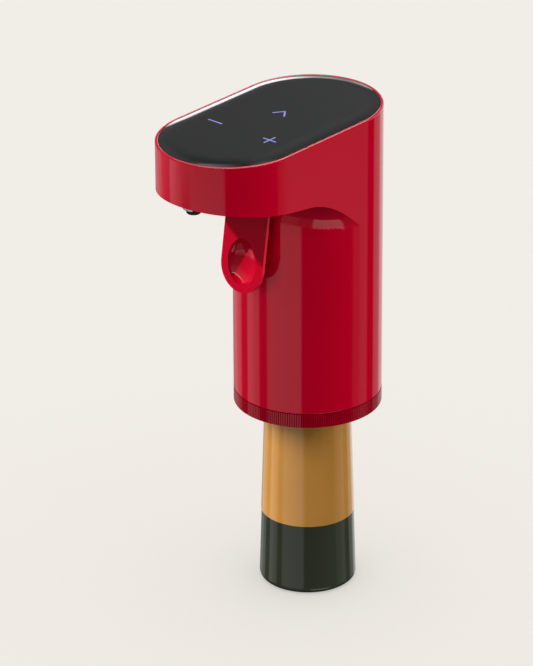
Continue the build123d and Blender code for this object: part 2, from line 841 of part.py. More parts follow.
rotor_foot = motor_top + motor_boss_height - shaft_depth + turn_gap
crank_foot = motor_top + motor_boss_height + turn_gap
crank_top = pump_body_top - crank_pin_height - turn_gap
with BuildPart() as pump_rotor:
    with BuildSketch(Plane.XY.offset(rotor_foot)):
        with Locations((0, motor_y)):
            Circle(shaft_radius)
    extrude(amount=crank_foot - rotor_foot)
    with BuildSketch(Plane.XY.offset(crank_foot)):
        with Locations((0, motor_y)):
            Circle(crank_radius)
    extrude(amount=crank_top - crank_foot)
    with BuildSketch(Plane.XY.offset(crank_top)):
        with Locations((crank_throw, motor_y)):
            Circle(shaft_radius)
    extrude(amount=crank_pin_height - turn_gap)
save(pump_rotor, "pump_rotor")

with BuildPart() as pump_body:
    with BuildSketch(Plane.XY.offset(motor_top)):
        with Locations((0, motor_y)):
            Circle(pump_radius)
    extrude(amount=pump_body_height)
    with BuildSketch(Plane.XY.offset(pump_body_top)):
        with Locations((0, motor_y)):
            Circle(pump_cavity_radius)
    extrude(amount=motor_boss_height - pump_body_height, mode=Mode.SUBTRACT)
    with BuildSketch(Plane.XY.offset(motor_top)):
        with Locations((0, motor_y)):
            Circle(motor_boss_radius)
    extrude(amount=motor_boss_height, mode=Mode.SUBTRACT)
save(pump_body, "pump_body")

with BuildPart() as pump_diaphragm:
    with BuildSketch(Plane.XY.offset(pump_body_top)):
        with Locations((0, motor_y)):
            Circle(pump_radius)
    extrude(amount=diaphragm_thickness)
save(pump_diaphragm, "pump_diaphragm")

with BuildPart() as pump_cover:
    with BuildSketch(Plane.XY.offset(diaphragm_top)):
        with Locations((0, motor_y)):
            Circle(pump_radius)
    extrude(amount=cover_height)
    chamfer(pump_cover.edges().group_by(Axis.Z)[-1], length=cover_chamfer)
    with BuildSketch(Plane.XY.offset(cover_top)):
        with Locations((outlet_x, motor_y)):
            Circle(air_bore_radius - nipple_fit)
    extrude(amount=nipple_length)
    with BuildSketch(Plane.XY.offset(diaphragm_top + cover_height / 2)):
        with Locations((outlet_x, motor_y)):
            Circle(air_bore_radius / 2)
    extrude(amount=cover_height + nipple_length, mode=Mode.SUBTRACT)
save(pump_cover, "pump_cover")

# ---------------------------------------------------------------- tubes
with BuildPart() as check_valve:
    with BuildSketch(Plane.XY.offset(valve_foot)):
        with Locations((valve_side, motor_y)):
            Circle(valve_radius)
    extrude(amount=valve_length)
    chamfer(check_valve.edges().filter_by(GeomType.CIRCLE), length=valve_chamfer)
    with BuildSketch(Plane.XY.offset(valve_foot - nipple_length)):
        with Locations((valve_side, motor_y)):
            Circle(air_bore_radius - nipple_fit)
    extrude(amount=valve_length + 2 * nipple_length)
save(check_valve, "check_valve")

air_run_upper = [
    (outlet_x, motor_y, cover_top + nipple_fit),
    (outlet_x, motor_y, air_run_height),
    (valve_side, motor_y, air_run_height),
    (valve_side, motor_y, valve_foot + valve_length + nipple_fit),
]
air_run_lower = [
    (valve_side, motor_y, valve_foot - nipple_fit),
    (valve_side, motor_y, tube_crossing),
    (nipple_spread, 0, tube_crossing),
    (nipple_spread, 0, core_barrel_top + nipple_fit),
]
upper_air_tube = tube(air_run_upper, air_tube_radius, air_bore_radius, air_bend)
lower_air_tube = tube(air_run_lower, air_tube_radius, air_bore_radius, air_bend)
with BuildPart() as air_tube:
    add(upper_air_tube)
    add(lower_air_tube)
save(air_tube, "air_tube")

wine_route = [
    (-nipple_spread, 0, core_barrel_top + nipple_fit),
    (-nipple_spread, 0, tube_crossing),
    (-wine_side, wine_run_y, tube_crossing),
    (-wine_side, wine_run_y, tube_run_height),
    (-wine_side, switch_front - wine_tube_radius, tube_run_height),
    (0, wine_turn_y, tube_run_height),
    (0, nipple_root + nipple_fit, tube_run_height),
]
wine_hose = tube(wine_route, wine_tube_radius, wine_bore_radius, tube_bend)
with BuildPart() as wine_tube:
    add(wine_hose)
save(wine_tube, "wine_tube")

# ---------------------------------------------------------------- spout
with BuildPart() as spout_nozzle:
    with BuildSketch(Plane.XY.offset(overhang_height)):
        with Locations((0, spout_y)):
            Circle(spout_block_radius)
    extrude(amount=spout_block_top - overhang_height)
    chamfer(spout_nozzle.edges().group_by(Axis.Z)[-1], length=block_chamfer)
    add(inner_space, mode=Mode.SUBTRACT)
    with BuildSketch(Plane.XY.offset(spout_foot)):
        with Locations((0, spout_y)):
            Circle(spout_radius)
    extrude(amount=tube_run_height - spout_foot)
    chamfer(spout_nozzle.edges().group_by(Axis.Z)[0], length=nozzle_chamfer)
    with BuildSketch(Plane.XZ.offset(-spout_y)):
        with Locations((0, tube_run_height)):
            Circle(wine_bore_radius - nipple_fit)
    extrude(amount=-spout_block_radius - nipple_length)
    with BuildSketch(Plane.XZ.offset(-spout_y)):
        with Locations((0, tube_run_height)):
            Circle(nozzle_bore_radius)
    extrude(amount=-2 * spout_block_radius - nipple_length, mode=Mode.SUBTRACT)
    with BuildSketch(Plane.XY.offset(spout_foot)):
        with Locations((0, spout_y)):
            Circle(tip_bore_radius)
    extrude(amount=tube_run_height - spout_foot, mode=Mode.SUBTRACT)
    with BuildSketch(Plane.XY.offset(spout_foot)):
        with Locations((0, spout_y)):
            Circle(tip_plug_radius)
    extrude(amount=tip_plug_height, mode=Mode.SUBTRACT)
save(spout_nozzle, "spout_nozzle")

with BuildPart() as spout_tip:
    with BuildSketch(Plane.XY.offset(tip_foot)):
        with Locations((0, spout_y)):
            Circle(tip_radius)
    extrude(amount=spout_foot - tip_foot)
    chamfer(spout_tip.edges().group_by(Axis.Z)[0], length=tip_chamfer)
    with BuildSketch(Plane.XY.offset(spout_foot)):
        with Locations((0, spout_y)):
            Circle(tip_plug_radius)
    extrude(amount=tip_plug_height)
    with BuildSketch(Plane.XY.offset(tip_foot)):
        with Locations((0, spout_y)):
            Circle(tip_bore_radius)
    extrude(amount=spout_block_top - tip_foot, mode=Mode.SUBTRACT)
save(spout_tip, "spout_tip")

# ---------------------------------------------------------------- lever
lean = radians(lever_lean)
lever_plane = Plane(origin=(0, pivot_y, pivot_z), x_dir=(1, 0, 0), z_dir=(0, -cos(lean), sin(lean)))
lever_face = lever_thickness / 2
tip_centre = lever_width / 2 - lever_reach


def dish(growth, mouth_rise):
    """An oval egg-shaped bowl, its widest part mouth_rise above the lever's front face."""
    depth = dish_depth + growth
    with BuildPart() as bowl:
        Sphere(depth)
        scale(by=((dish_half_width + growth) / depth, (dish_half_height + growth) / depth, 1))
        split(bisect_by=Plane.XY.offset(mouth_rise), keep=Keep.BOTTOM)
    return lever_plane.location * Pos(0, -dish_drop, lever_face) * bowl.part


dish_hollow = dish(0, dish_depth / 2)
dish_shell = dish(dish_wall, -lever_thickness / 2)

with BuildPart() as lever:
    with BuildSketch(lever_plane.offset(-lever_face)):
        Rectangle(lever_width, -tip_centre, align=(Align.CENTER, Align.MAX))
        with Locations((0, tip_centre)):
            Circle(lever_width / 2)
        Rectangle(tail_width, lever_tail, align=(Align.CENTER, Align.MIN))
    extrude(amount=lever_thickness)
    add(dish_shell)
    for hub_x in (spring_bay / 2, -lever_width / 2):
        with BuildSketch(Plane.YZ.offset(hub_x)):
            with Locations((pivot_y, pivot_z)):
                Circle(hub_radius)
        extrude(amount=hub_width)
    with BuildSketch(lever_plane.offset(-hub_radius)):
        Rectangle(spring_bay, 2 * hub_radius + bay_margin)
    extrude(amount=2 * hub_radius, mode=Mode.SUBTRACT)
    with BuildSketch(Plane.YZ.offset(-lever_width)):
        with Locations((pivot_y, pivot_z)):
            Circle(pin_radius + pin_fit)
    extrude(amount=2 * lever_width, mode=Mode.SUBTRACT)
    add(dish_hollow, mode=Mode.SUBTRACT)
save(lever, "lever")

with BuildPart() as lever_pin:
    with BuildSketch(Plane.YZ.offset(-pin_length / 2)):
        with Locations((pivot_y, pivot_z)):
            Circle(pin_radius)
    extrude(amount=pin_length)
    chamfer(lever_pin.edges().filter_by(GeomType.CIRCLE), length=pin_chamfer)
save(lever_pin, "lever_pin")

spring_length = spring_pitch * spring_turns
spring_frame = Plane(origin=(-spring_length / 2, pivot_y, pivot_z), x_dir=(0, 1, 0), z_dir=(1, 0, 0))
grip_offset = lever_face + spring_wire / 2 + spring_fit
grip_point = (
    -spring_length / 2,
    pivot_y - spring_grip * sin(lean) + grip_offset * cos(lean),
    pivot_z - spring_grip * cos(lean) - grip_offset * sin(lean),
)
bar_point = (spring_length / 2, ear_back - bar_depth / 2, pivot_z - spring_radius)
coil = spring_frame.location * Helix(
    pitch=spring_pitch, height=spring_length, radius=spring_radius
)
with BuildPart() as lever_spring:
    with BuildSketch(Plane(origin=coil @ 0, x_dir=(0, 1, 0), z_dir=coil % 0)):
        Rectangle(spring_wire, spring_wire)
    sweep(path=coil, is_frenet=True)
    for leg_start, leg_end in ((coil @ 0, grip_point), (coil @ 1, bar_point)):
        leg_direction = Vector(*leg_end) - leg_start
        with BuildSketch(Plane(origin=leg_start, x_dir=(1, 0, 0), z_dir=leg_direction)):
            Rectangle(spring_wire, spring_wire)
        extrude(amount=leg_direction.length)
save(lever_spring, "lever_spring")

# ---------------------------------------------------------------- lever switch
with BuildPart() as micro_switch:
    with BuildSketch(Plane.XY.offset(switch_floor)):
        with Locations((0, switch_back - switch_depth / 2)):
            Rectangle(switch_width, switch_depth)
    extrude(amount=switch_height)
    chamfer(micro_switch.edges().filter_by(Axis.Z), length=switch_chamfer)
    with BuildSketch(Plane.XZ.offset(-switch_back)):
        with Locations((0, pivot_z + plunger_rise)):
            Rectangle(plunger_width + 2 * plunger_gap, plunger_height + 2 * plunger_gap)
    extrude(amount=plunger_depth + plunger_room, mode=Mode.SUBTRACT)
save(micro_switch, "micro_switch")

with BuildPart() as switch_plunger:
    with BuildSketch(Plane.XZ.offset(-switch_back - plunger_reach)):
        with Locations((0, pivot_z + plunger_rise)):
            Rectangle(plunger_width, plunger_height)
    extrude(amount=plunger_reach + plunger_depth)
save(switch_plunger, "switch_plunger")

# ---------------------------------------------------------------- stopper
with BuildPart() as stopper:
    with BuildSketch(Plane.XZ):
        with BuildLine():
            Polyline(
                (core_radius, stopper_foot),
                (stopper_radius - stopper_taper, stopper_foot),
                (stopper_radius, stopper_foot + stopper_lead),
                (stopper_radius, stopper_seat),
                (stopper_flange_radius, stopper_seat),
                (stopper_flange_radius, stopper_top),
                (core_radius, stopper_top),
                close=True,
            )
        make_face()
        for index in range(fin_count):
            fin_foot = stopper_foot + stopper_lead + index * fin_pitch
            fin_tip = fin_foot + fin_pitch / 2
            with BuildLine():
                Polyline(
                    (stopper_radius - fin_root, fin_foot),
                    (fin_radius, fin_tip),
                    (fin_radius, fin_tip + fin_edge),
                    (stopper_radius - fin_root, fin_tip + fin_edge + fin_back),
                    close=True,
                )
            make_face()
    revolve(axis=Axis.Z)
save(stopper, "stopper")

with BuildPart() as stopper_core:
    with BuildSketch(Plane.XZ):
        with BuildLine():
            Polyline(
                (0, stopper_foot),
                (core_radius, stopper_foot),
                (core_radius, stopper_top),
                (core_flange_radius, stopper_top),
                (core_flange_radius, deck_floor),
                (core_barrel_radius, deck_floor),
                (core_barrel_radius, core_barrel_top),
                (0, core_barrel_top),
                close=True,
            )
        make_face()
    revolve(axis=Axis.Z)
    with BuildSketch(Plane.XY.offset(core_barrel_top)):
        with Locations((-nipple_spread, 0)):
            Circle(wine_bore_radius - nipple_fit)
        with Locations((nipple_spread, 0)):
            Circle(air_bore_radius - nipple_fit)
    extrude(amount=nipple_length)
    with BuildSketch(Plane.XY.offset(stopper_foot)):
        with Locations((-nipple_spread, 0)):
            Circle(dip_bore_radius)
        with Locations((nipple_spread, 0)):
            Circle(air_bore_radius / 2)
    extrude(amount=top_height, mode=Mode.SUBTRACT)
    with BuildSketch(Plane.XY.offset(stopper_foot)):
        with Locations((-nipple_spread, 0)):
            Circle(dip_radius)
    extrude(amount=dip_socket, mode=Mode.SUBTRACT)
save(stopper_core, "stopper_core")

with BuildPart() as core_nut:
    with BuildSketch(Plane.XY.offset(deck_top)):
        RegularPolygon(nut_across_flats / 2, 6, major_radius=False)
        Circle(core_barrel_radius + screw_fit, mode=Mode.SUBTRACT)
    extrude(amount=nut_height)
save(core_nut, "core_nut")

with BuildPart() as dip_tube:
    with BuildSketch(Plane.XY.offset(dip_foot)):
        with Locations((-nipple_spread, 0)):
            Circle(dip_radius)
            Circle(dip_bore_radius, mode=Mode.SUBTRACT)
    extrude(amount=stopper_foot + dip_socket - dip_foot)
save(dip_tube, "dip_tube")

# ---------------------------------------------------------------- collar and ring
with BuildPart() as collar:
    with BuildSketch(Plane.XZ):
        with BuildLine():
            Polyline(
                (ring_tube_radius + turn_gap, collar_foot),
                (inner_radius - collar_gap, collar_foot),
                (inner_radius - collar_gap, collar_top),
                (grip_radius + screw_fit, collar_top),
                (grip_radius + screw_fit, lip_top + turn_gap),
                (ring_tube_radius + ring_lip + turn_gap, lip_top + turn_gap),
                (ring_tube_radius + ring_lip + turn_gap, collar_ledge),
                (ring_tube_radius + turn_gap, collar_ledge),
                close=True,
            )
        make_face()
    revolve(axis=Axis.Z)
    with BuildSketch(Plane.XY.offset(lip_top)):
        with Locations(*post_places):
            Circle(screw_radius + screw_fit)
    extrude(amount=collar_top, mode=Mode.SUBTRACT)
    with BuildSketch(Plane.XY.offset(lip_top)):
        with Locations(*post_places):
            Circle(screw_head_radius + nipple_fit)
    extrude(amount=collar_screw_seat - lip_top, mode=Mode.SUBTRACT)
save(collar, "collar")

collar_fixings = [screw(x, y, collar_screw_seat, deck_floor - wall / 2) for x, y in post_places]
with BuildPart() as collar_screws:
    add(collar_fixings)
save(collar_screws, "collar_screws")

with BuildPart() as grip_sleeve:
    with BuildSketch(Plane.XZ):
        with BuildLine():
            Polyline(
                (neck_radius(grip_foot) + capsule_proud + grip_gap, grip_foot),
                (grip_radius, grip_foot),
                (grip_radius, collar_top),
                (neck_radius(collar_top) + capsule_proud + grip_gap, collar_top),
                close=True,
            )
        make_face()
    revolve(axis=Axis.Z)
save(grip_sleeve, "grip_sleeve")

with BuildPart() as twist_ring:
    # ribbed band
    with BuildSketch(Plane.XY.offset(ring_foot)):
        with BuildLine():
            Polyline(*rib_points, close=True)
        make_face()
    extrude(amount=ring_band_height)
    with BuildSketch(Plane.XY.offset(ring_foot + ring_floor)):
        Circle(column_radius - ring_band_wall)
    extrude(amount=ring_band_height, mode=Mode.SUBTRACT)
    # tube with its snap lip
    with BuildSketch(Plane.XY.offset(ring_foot)):
        Circle(ring_tube_radius)
    extrude(amount=lip_top - ring_foot)
    with BuildSketch(Plane.XY.offset(lip_top - ring_lip_height)):
        Circle(ring_tube_radius + ring_lip)
    extrude(amount=ring_lip_height)
    chamfer(twist_ring.edges().group_by(Axis.Z)[-1], length=ring_lip / 2)
    with BuildSketch(Plane.XY.offset(ring_foot + ring_floor)):
        Circle(ring_tube_radius - ring_tube_wall)
    extrude(amount=lip_top, mode=Mode.SUBTRACT)
    with BuildSketch(Plane.XY.offset(ring_foot)):
        Circle(neck_radius(ring_foot) + capsule_proud + ring_neck_gap)
    extrude(amount=lip_top, mode=Mode.SUBTRACT)
save(twist_ring, "twist_ring")
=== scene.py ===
"""Looks of a wine dispenser that stands on a bottle's neck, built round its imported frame.

Everything is in metres, +Z up. The spout and the lever face -Y, and the origin is on the
floor, on the axis of the neck and the column.
"""
from math import cos, pi, radians, sin

import bmesh
import bpy
from bpy.props import FloatProperty, FloatVectorProperty, PointerProperty
from bpy.types import Operator, Panel, PropertyGroup
from mathutils import Matrix, Vector
from mathutils.bvhtree import BVHTree


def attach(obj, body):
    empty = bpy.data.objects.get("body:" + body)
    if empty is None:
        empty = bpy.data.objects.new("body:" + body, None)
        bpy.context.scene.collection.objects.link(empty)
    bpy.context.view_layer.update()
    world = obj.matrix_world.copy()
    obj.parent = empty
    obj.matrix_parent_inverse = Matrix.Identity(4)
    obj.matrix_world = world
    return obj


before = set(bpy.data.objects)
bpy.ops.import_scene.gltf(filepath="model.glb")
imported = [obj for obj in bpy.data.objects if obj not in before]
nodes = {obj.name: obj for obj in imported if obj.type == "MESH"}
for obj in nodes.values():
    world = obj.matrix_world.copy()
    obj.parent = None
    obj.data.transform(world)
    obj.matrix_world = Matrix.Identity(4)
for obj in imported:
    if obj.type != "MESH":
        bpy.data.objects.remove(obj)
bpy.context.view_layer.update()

bl_info = {
    "name": "Wine dispenser looks",
    "version": (1, 0, 0),
    "blender": (4, 5, 0),
    "location": "View3D > Sidebar > Dispenser",
    "description": "Finishes a wine dispenser's packed parts and sets up its studio",
    "category": "Object",
}

MM = 0.001
ARROW_SLANT = 52             # degrees that the arrow sign's strokes stand up
WELL_ABOVE = 1.0             # height from which rays fall on the glass panel
EVEN = (1.0, 1.0, 1.0)       # a pattern that isn't stretched
NOISE_LOW, NOISE_HIGH = 0.3, 0.7   # a noise texture mostly stays between these
GLASS_IOR = 1.52
MIX_COLOUR = 2               # a Mix node's colour output, as its outputs share one name


# ---------------------------------------------------------------- shared helpers
def linear(hex_colour):
    """The linear colour of an sRGB hex value."""
    parts = [int(hex_colour[start:start + 2], 16) / 255 for start in (0, 2, 4)]
    return tuple(p / 12.92 if p <= 0.04045 else ((p + 0.055) / 1.055) ** 2.4 for p in parts)


def opaque(colour):
    """A colour with full alpha, as a node's socket wants it."""
    return (colour[0], colour[1], colour[2], 1.0)


def times(colour, factor):
    """A colour made lighter or darker."""
    return tuple(min(1.0, factor * part) for part in colour)


def grey(level):
    """A light or a share, as a colour."""
    return (level,) * 3


def per_metre(size_mm):
    """The texture scale at which a pattern repeats every size_mm millimetres."""
    return 1000 / size_mm


def add_node(tree, kind, sockets=None, stops=None, **settings):
    """Adds a node, sets its options, its ramp's stops and its sockets, or links into them."""
    made = tree.nodes.new(kind)
    for name, value in settings.items():
        setattr(made, name, value)
    if stops:
        elements = made.color_ramp.elements
        while len(elements) < len(stops):
            elements.new(1.0)
        for element, (position, colour) in zip(elements, stops):
            element.position = position
            element.color = opaque(colour)
    for name, value in (sockets or {}).items():
        socket = next(s for s in made.inputs if name in (s.identifier, s.name))
        if isinstance(value, bpy.types.NodeSocket):
            tree.links.new(value, socket)
        else:
            socket.default_value = value
    return made


def new_material(name):
    """An empty node material, and its tree."""
    made = bpy.data.materials.new(name)
    made.use_nodes = True
    made.node_tree.nodes.clear()
    return made, made.node_tree


def layered_material(name, broad, fine, colours, roughness, relief_mm, sockets=None):
    """A Principled material over two noises, each given as its size in mm, stretch and detail.

    The broad one turns the first colour to the second. The fine one runs the roughness between
    its two values and raises the surface by relief_mm."""
    made, tree = new_material(name)
    place = add_node(tree, "ShaderNodeTexCoord").outputs["Object"]
    patterns = []
    for size_mm, stretch, detail in (broad, fine):
        mapped = add_node(tree, "ShaderNodeMapping", {"Vector": place, "Scale": stretch})
        patterns.append(add_node(tree, "ShaderNodeTexNoise", {
            "Vector": mapped.outputs["Vector"], "Scale": per_metre(size_mm), "Detail": detail,
        }).outputs["Fac"])
    tint = add_node(tree, "ShaderNodeValToRGB", {"Fac": patterns[0]},
                    stops=((NOISE_LOW, colours[0]), (NOISE_HIGH, colours[1])))
    gloss = add_node(tree, "ShaderNodeMapRange", {
        "Value": patterns[1], "From Min": NOISE_LOW, "From Max": NOISE_HIGH,
        "To Min": roughness[0], "To Max": roughness[1],
    })
    bump = add_node(tree, "ShaderNodeBump", {
        "Height": patterns[1], "Distance": relief_mm * MM, "Strength": 1.0,
    })
    shader = add_node(tree, "ShaderNodeBsdfPrincipled", {
        "Base Color": tint.outputs["Color"], "Roughness": gloss.outputs["Result"],
        "Normal": bump.outputs["Normal"], **(sockets or {}),
    })
    add_node(tree, "ShaderNodeOutputMaterial", {"Surface": shader.outputs["BSDF"]})
    return made


def dress(material, *names):
    """Gives a material to CAD nodes."""
    for name in names:
        slot = nodes[name].material_slots[0]
        slot.link = "OBJECT"
        slot.material = material


def mesh_object(name, shape, material):
    """A mesh object in the scene from a bmesh that is already in place."""
    mesh = bpy.data.meshes.new(name)
    shape.to_mesh(mesh)
    shape.free()
    mesh.materials.append(material)
    made = bpy.data.objects.new(name, mesh)
    bpy.context.scene.collection.objects.link(made)
    return made


def add_piece(name, shape, material, body):
    """Makes a piece from a bmesh that is already in place, and rides it on a body."""
    made = mesh_object(name, shape, material)
    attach(made, body)


# ---------------------------------------------------------------- sizes and colours
class DispenserFinish(PropertyGroup):
    """Colours and gloss that a user would change."""
    shell_red: FloatVectorProperty(
        name="Shell red", description="Lacquer of the housing and the lever",
        subtype="COLOR", default=linear("ab0120"), min=0, max=1)
    ring_red: FloatVectorProperty(
        name="Ring red", description="Ribbed ring under the housing",
        subtype="COLOR", default=linear("8e0019"), min=0, max=1)
    panel_black: FloatVectorProperty(
        name="Panel black", description="Print behind the touch panel's glass",
        subtype="COLOR", default=linear("0c0d0d"), min=0, max=1)
    sleeve_gold: FloatVectorProperty(
        name="Sleeve gold", description="Lacquered foil round the bottle's neck",
        subtype="COLOR", default=linear("c88e42"), min=0, max=1)
    bottle_green: FloatVectorProperty(
        name="Bottle green", description="Dark glass of the neck",
        subtype="COLOR", default=linear("2e3328"), min=0, max=1)
    lacquer_roughness: FloatProperty(
        name="Lacquer roughness", description="Roughness of the red lacquer",
        default=0.07, min=0, max=1, subtype="FACTOR")


class KeySigns(PropertyGroup):
    """Lit signs on the touch panel."""
    stroke: FloatProperty(
        name="Stroke", description="Width of each sign's strokes",
        default=0.62 * MM, unit="LENGTH")
    minus_length: FloatProperty(
        name="Minus length", description="Length of the minus sign",
        default=6.2 * MM, unit="LENGTH")
    plus_length: FloatProperty(
        name="Plus length", description="Length of the plus sign's strokes",
        default=5.6 * MM, unit="LENGTH")
    arrow_length: FloatProperty(
        name="Arrow length", description="Length of the arrow's two strokes",
        default=4.2 * MM, unit="LENGTH")
    side_spacing: FloatProperty(
        name="Side spacing", description="Of the minus and plus from the middle",
        default=12.0 * MM, unit="LENGTH")
    side_row: FloatProperty(
        name="Side row", description="Distance of the minus and plus ahead of the column's axis",
        default=31.3 * MM, unit="LENGTH")
    arrow_row: FloatProperty(
        name="Arrow row", description="Distance of the arrow ahead of the column's axis",
        default=12.5 * MM, unit="LENGTH")
    thickness: FloatProperty(
        name="Thickness", description="How far the lit strokes stand on the glass",
        default=0.02 * MM, unit="LENGTH")
    colour: FloatVectorProperty(
        name="Colour", description="Light of the signs",
        subtype="COLOR", default=linear("9696e8"), min=0, max=1)
    glow: FloatProperty(
        name="Glow", description="Strength of their light", default=1.0, min=0)


class Studio(PropertyGroup):
    """Camera, floor and light."""
    camera_azimuth: FloatProperty(
        name="Camera azimuth", description="From straight ahead of the spout towards +X",
        default=radians(42.596), subtype="ANGLE")
    camera_elevation: FloatProperty(
        name="Camera elevation", description="Above the horizon",
        default=radians(24.398), subtype="ANGLE")
    camera_roll: FloatProperty(
        name="Camera roll", description="Turn about its own line of sight",
        default=-0.005, subtype="ANGLE")
    camera_distance: FloatProperty(
        name="Camera distance", description="From the point that it circles",
        default=1.408, unit="LENGTH")
    lens_mm: FloatProperty(
        name="Lens", description="Focal length on a 36 mm sensor, in millimetres",
        default=228.16, min=1)
    pivot: FloatVectorProperty(
        name="Pivot", description="Point that the camera circles",
        subtype="XYZ", unit="LENGTH", default=(0.0, -0.010, 0.095))
    aim_offset: FloatVectorProperty(
        name="Aim offset", description="Of the aim from the pivot, to the right and up in the picture",
        size=2, unit="LENGTH", default=(-7.0 * MM, -1.09 * MM))
    floor_colour: FloatVectorProperty(
        name="Floor", description="Matte paper floor",
        subtype="COLOR", default=linear("d9d6d1"), min=0, max=1)
    horizon_colour: FloatVectorProperty(
        name="Horizon", description="What the camera sees past the floor",
        subtype="COLOR", default=linear("f1eee9"), min=0, max=1)
    floor_fill: FloatProperty(
        name="Floor fill", description="Share of the floor's colour that shows in any light",
        default=0.6, min=0, max=1, subtype="FACTOR")
    sky_level: FloatProperty(
        name="Sky level", description="Soft light from above", default=0.67, min=0)
    ground_level: FloatProperty(
        name="Ground level", description="Soft light from below", default=0.1, min=0)
    lamp_height: FloatProperty(
        name="Lamp height", description="Of the low soft lamps, above the horizon",
        default=radians(12), subtype="ANGLE")
    lamp_softness: FloatProperty(
        name="Lamp softness", description="Angle that each low soft lamp fills",
        default=radians(40), subtype="ANGLE")
    left_lamp: FloatProperty(
        name="Left lamp", description="Soft lamp from behind on the left", default=4.8, min=0)
    front_lamp: FloatProperty(
        name="Front lamp", description="Soft lamp from the camera's left", default=1.55, min=0)
    right_lamp: FloatProperty(
        name="Right lamp", description="Soft lamp from the right", default=3.4, min=0)
    sleeve_lamp: FloatProperty(
        name="Sleeve lamp", description="Soft lamp high on the left for the foil sleeve",
        default=3.8, min=0)
    sleeve_height: FloatProperty(
        name="Sleeve height", description="Of the sleeve's lamp, above the horizon",
        default=radians(42), subtype="ANGLE")
    sleeve_softness: FloatProperty(
        name="Sleeve softness", description="Angle that the sleeve's lamp fills",
        default=radians(30), subtype="ANGLE")
    lever_fill: FloatProperty(
        name="Lever fill", description="Soft lamp that lifts the lever's shaded face",
        default=0.55, min=0)
    edge_lamp: FloatProperty(
        name="Edge lamp", description="Lamp on the right that lights the lever's edge",
        default=8.0, min=0)
    key_lamp: FloatProperty(
        name="Key lamp", description="Lamp high on the left that picks out the lever",
        default=4.7, min=0)
    key_turn: FloatProperty(
        name="Key turn", description="Of the key lamp, from the camera's side towards its right",
        default=radians(-94.6), subtype="ANGLE")
    key_height: FloatProperty(
        name="Key height", description="Of the key lamp, above the horizon",
        default=radians(38), subtype="ANGLE")
    key_softness: FloatProperty(
        name="Key softness", description="Angle that the key lamp fills, which softens its shadow",
        default=radians(3), subtype="ANGLE")


# ---------------------------------------------------------------- materials
def lacquered_abs(name, colour, roughness):
    """High gloss lacquer on moulded ABS: a deep even red with clear, crisp reflections.

    The fine noise is the film's faint orange peel, 2.2 mm from crest to crest."""
    return layered_material(
        name, (28, EVEN, 2.0), (2.2, EVEN, 1.0), (times(colour, 0.96), colour),
        (0.85 * roughness, 1.2 * roughness), 0.0005)


def printed_glass(name, colour):
    """Tempered glass over a black print: near black, mirror smooth, with a trace of finger haze."""
    return layered_material(
        name, (30, EVEN, 1.0), (16, EVEN, 4.0), (times(colour, 0.95), colour), (0.05, 0.09), 0.0,
        {"IOR": GLASS_IOR})


def lit_film(name, colour, glow):
    """A lit window in the black print: a soft blue-violet light, a little uneven over each LED."""
    made, tree = new_material(name)
    place = add_node(tree, "ShaderNodeTexCoord").outputs["Object"]
    fall = add_node(tree, "ShaderNodeTexNoise", {
        "Vector": place, "Scale": per_metre(1.6), "Detail": 1.0,
    }).outputs["Fac"]
    light = add_node(tree, "ShaderNodeValToRGB", {"Fac": fall},
                     stops=((NOISE_LOW, times(colour, 0.84)), (NOISE_HIGH, colour)))
    shader = add_node(tree, "ShaderNodeBsdfPrincipled", {
        "Base Color": opaque(linear("101014")), "Roughness": 0.07, "IOR": GLASS_IOR,
        "Emission Color": light.outputs["Color"], "Emission Strength": glow,
    })
    add_node(tree, "ShaderNodeOutputMaterial", {"Surface": shader.outputs["BSDF"]})
    return made


def moulded_plastic(name, hex_colour, roughness, grain_mm=0.35):
    """Matte injection moulding: a fine spark-eroded grain that scatters the light."""
    colour = linear(hex_colour)
    return layered_material(
        name, (12, EVEN, 2.0), (grain_mm, EVEN, 3.0), (times(colour, 0.88), colour),
        (roughness - 0.06, roughness + 0.06), 0.012)


def rubber(name, hex_colour, translucent=0.0):
    """Moulded silicone: soft sheen, a dusty bloom and no hard highlight."""
    colour = linear(hex_colour)
    return layered_material(
        name, (3.5, EVEN, 5.0), (0.8, EVEN, 3.0), (colour, times(colour, 1.3)), (0.42, 0.6), 0.01,
        {"Subsurface Weight": translucent, "Subsurface Radius": (0.002, 0.002, 0.002)})


def worked_metal(name, hex_colour, roughness, stretch):
    """Turned, drawn or plated metal: fine marks 0.25 mm apart that pull the highlight out.

    The stretch squeezes the marks together along each axis, or draws them out where it is
    under 1."""
    colour = linear(hex_colour)
    return layered_material(
        name, (5, EVEN, 3.0), (0.25, stretch, 4.0), (times(colour, 0.86), colour),
        (0.75 * roughness, 1.3 * roughness), 0.003, {"Metallic": 1.0})


def gold_foil(name, colour):
    """Lacquered foil: warm gold, part metal under a clear gloss coat, rolled round the neck.

    The fine noise is its upright draw lines, 1.5 mm apart, left as the foil is shrunk on."""
    return layered_material(
        name, (14, EVEN, 3.0), (1.5, (1.0, 1.0, 0.04), 3.0),
        ((0.96 * colour[0], 0.93 * colour[1], 0.88 * colour[2]), colour), (0.3, 0.38), 0.002,
        {"Metallic": 0.35, "Specular Tint": (1.0, 0.95, 0.6, 1.0),
         "Coat Weight": 1.0, "Coat Roughness": 0.05, "Coat IOR": 1.6})


def bottle_glass(name, colour):
    """Dark green bottle glass, filled behind: black green, smooth, with slow mould ripples."""
    return layered_material(
        name, (18, EVEN, 2.0), (11, (1.0, 1.0, 0.4), 1.0), (times(colour, 0.92), colour),
        (0.07, 0.1), 0.002, {"IOR": GLASS_IOR})


def shrink_wrap(name):
    """Blue PVC wrap of a battery cell: smooth, with a slight sheen and fine wrinkles round it."""
    return layered_material(
        name, (9, EVEN, 2.0), (1.8, (0.3, 0.3, 1.0), 2.0), (linear("1b4f92"), linear("2461ab")),
        (0.25, 0.38), 0.01)


